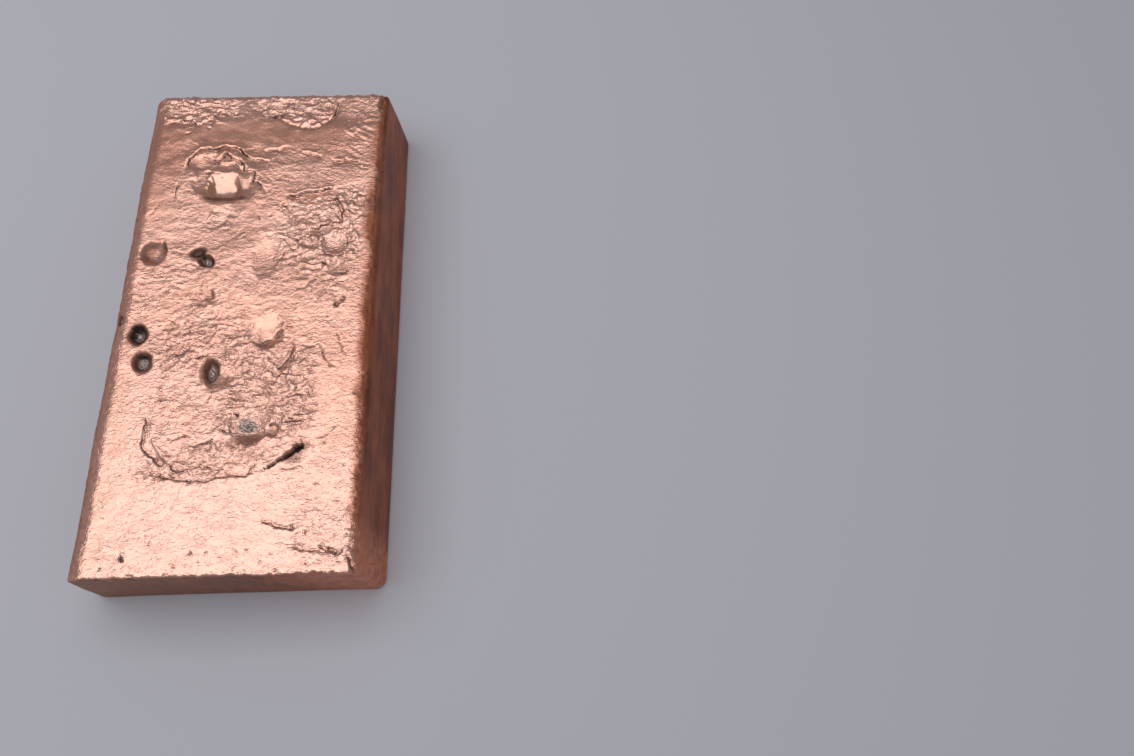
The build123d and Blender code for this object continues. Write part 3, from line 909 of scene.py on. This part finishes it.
# The base: clean copper, darker and redder where the film and the painted shade of the light's falloff are
# strong
colour = blend(film_and_falloff_shade, bright_copper, filmed_and_shaded_copper)
skin_layers = (
    (oxide, mottled_oxide),
    # painted shade in the hollows
    (times(painted("hollow"), 0.44), hollow_shade_brown),
    # painted shade in the fine hair cracks, partly dark oxide
    (times(hair_cracks, 0.55), hair_crack_shade_brown),
    (times(stained_and_shaded["gold"], 0.6), golden_oxide),
    (times(tarnished, 0.75), tarnished_copper),
    # brown stain, with painted shade at the sink's foot, the lap edges and a dish's near wall
    (times(stained_and_shaded["brown"], 0.8), stain_and_shade_brown),
    # grey ash, its pale grey partly a painted highlight
    (times(stained_and_shaded["ash"], 0.85), blend(speckle, pale_ash_and_highlight, ash_speck)),
    # the mould's brown, with the painted shade of the right edge in it
    (times(mould, 0.92), mould_skin),
    # painted shade in the cracks, too narrow for the mesh, partly dark oxide
    (times(spread(crack_shade_distance, 1.1, 0.45), 0.85), crack_shade_brown),
    # soot, with painted shade and shadow at the sink's foot and walls and under the laps
    (stained_and_shaded["soot"], soot_and_shade_black),
)
for share, over in skin_layers:
    colour = blend(share, colour, over)
feed(shader.inputs["Base Color"], colour)

# Ash, soot and brown stain are dull, with the painted shade laid among them, and the mould's faces and the
# tarnish are rougher than the open skin
dull = arithmetic("MAXIMUM", times(stained_and_shaded["ash"], 0.6), stained_and_shaded["soot"])
dull = arithmetic("MAXIMUM", dull, times(stained_and_shaded["brown"], 0.4))
feed(shader.inputs["Metallic"], arithmetic("SUBTRACT", 1.0, times(dull, 0.8)))
roughness = 0.2
for value, amount in ((mottle, 0.14), (mould, 0.22), (dull, 0.25), (tarnished, 0.16)):
    roughness = plus(roughness, times(value, amount))
feed(shader.inputs["Roughness"], roughness)

# The fine relief, in millimetres, is weaker where the skin was drawn smooth
fine_relief = (
    (ripple, 0.2),
    (satin, 0.26),
    (grain, 0.06),
    (fine, 0.02),
    (hair_cracks, -0.07),
    (times(speckle, stained_and_shaded["ash"]), -0.2),
)
relief_mm = times(small_bark, plus(0.12, times(wildness, 0.3)))
for value, amount in fine_relief:
    relief_mm = plus(relief_mm, times(value, amount))
bump = nodes.new("ShaderNodeBump")
bump.inputs["Strength"].default_value = 1.0
bump.inputs["Distance"].default_value = to_metres
feed(bump.inputs["Height"], times(relief_mm, painted("rippled")))
feed(shader.inputs["Normal"], bump.outputs["Normal"])
skin.materials.append(copper)

# The floor: a plain pale grey table top, which the ingot lies on
floor_size = 3.0
floor_mesh = bpy.data.meshes.new("floor")
corners = np.array([(-1, -1, 0), (1, -1, 0), (1, 1, 0), (-1, 1, 0)]) * floor_size
floor_mesh.from_pydata(corners.tolist(), [], [(0, 1, 2, 3)])
floor = bpy.data.objects.new("floor", floor_mesh)
bpy.context.collection.objects.link(floor)
table_grey = (0.63, 0.63, 0.69, 1)
grey = bpy.data.materials.new("pale_grey")
grey.use_nodes = True
table_shader = grey.node_tree.nodes["Principled BSDF"]
table_shader.inputs["Base Color"].default_value = table_grey
table_shader.inputs["Roughness"].default_value = 0.7
floor_mesh.materials.append(grey)

# The light: one wide soft box overhead, placed so that the near half of the ingot's top mirrors it, and
# dim walls around it
world = bpy.data.worlds.new("walls")
bpy.context.scene.world = world
world.use_nodes = True
wall_white = (0.95, 0.96, 1.0, 1)
wall_shader = world.node_tree.nodes["Background"]
wall_shader.inputs["Color"].default_value = wall_white
wall_shader.inputs["Strength"].default_value = 0.25
box_light = bpy.data.lights.new("soft_box", "AREA")
box_light.shape = "RECTANGLE"
box_light.size = 1.5
box_light.size_y = 1.13
box_light.energy = 7.0
soft_box = bpy.data.objects.new("soft_box", box_light)
soft_box.location = (-0.35, 0.115, 1.1)
bpy.context.collection.objects.link(soft_box)

# The camera, with the photograph's place, lens and tilt
camera_data = bpy.data.cameras.new("camera")
camera_data.sensor_width = 36.0
camera_data.lens = 28.36
camera = bpy.data.objects.new("camera", camera_data)
bpy.context.collection.objects.link(camera)
turned = Matrix.Rotation(radians(-0.94), 4, "Z")
tilted = Matrix.Rotation(radians(23.405), 4, "X")
rolled = Matrix.Rotation(radians(-0.793), 4, "Z")
camera_place = Matrix.Translation((0.123384, -0.168225, 0.3423))
camera.matrix_world = camera_place @ turned @ tilted @ rolled
bpy.context.scene.camera = camera
bpy.context.scene.view_settings.view_transform = "Standard"
